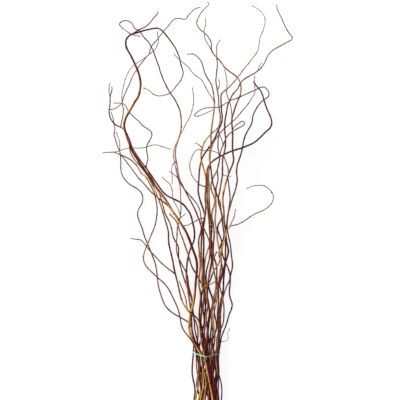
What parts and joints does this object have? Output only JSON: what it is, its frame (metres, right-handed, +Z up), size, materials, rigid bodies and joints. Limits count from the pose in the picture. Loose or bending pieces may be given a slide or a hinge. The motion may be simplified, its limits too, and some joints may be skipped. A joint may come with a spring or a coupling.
{
  "type": "bunch of curly willow stems",
  "caption": "Loose fan of long, thin, twisting willow stems with fine side twigs, tied near the cut ends by one thin rubber band and lying flat.",
  "frame": {"origin": "on the surface the bunch lies on, under the middle of its bounding box", "axes": "+Y along the bunch from the cut ends to the tips, +Z up, +X to the right for someone looking down with the tips away from them"},
  "size_m": [0.5126, 1.1808, 0.1443],
  "materials": {
    "bark_gold": "smooth living bark, golden ochre, slight gloss",
    "bark_russet": "smooth living bark, reddish brown, slight gloss",
    "bark_plum": "smooth living bark, dark plum, slight gloss",
    "rubber_green": "matt soft rubber, mint green"
  },
  "bodies": {
    "root": {"outer_left_stem": "bark_plum", "right_edge_stem": "bark_plum", "short_stem_left": "bark_plum", "short_stem_right": "bark_plum", "looping_right_stem": "bark_plum", "crossing_stem": "bark_russet", "inner_left_stem": "bark_russet", "fork_stem": "bark_russet", "arc_stem": "bark_gold", "twin_top_stem": "bark_russet", "far_right_stem": "bark_russet", "bent_stem": "bark_russet", "split_top_stem": "bark_gold", "narrow_loop_stem": "bark_gold", "high_right_stem": "bark_plum", "leaf_loop_stem": "bark_plum", "dark_elbow_stem": "bark_plum", "pointer_stem": "bark_russet", "plum_loop_stem": "bark_plum", "arched_top_stem": "bark_russet", "curl_stem": "bark_russet", "thick_hook_stem": "bark_gold", "left_gold_stem": "bark_gold", "gold_diagonal_stem": "bark_gold", "rubber_band": "rubber_green"}
  },
  "joints": []
}
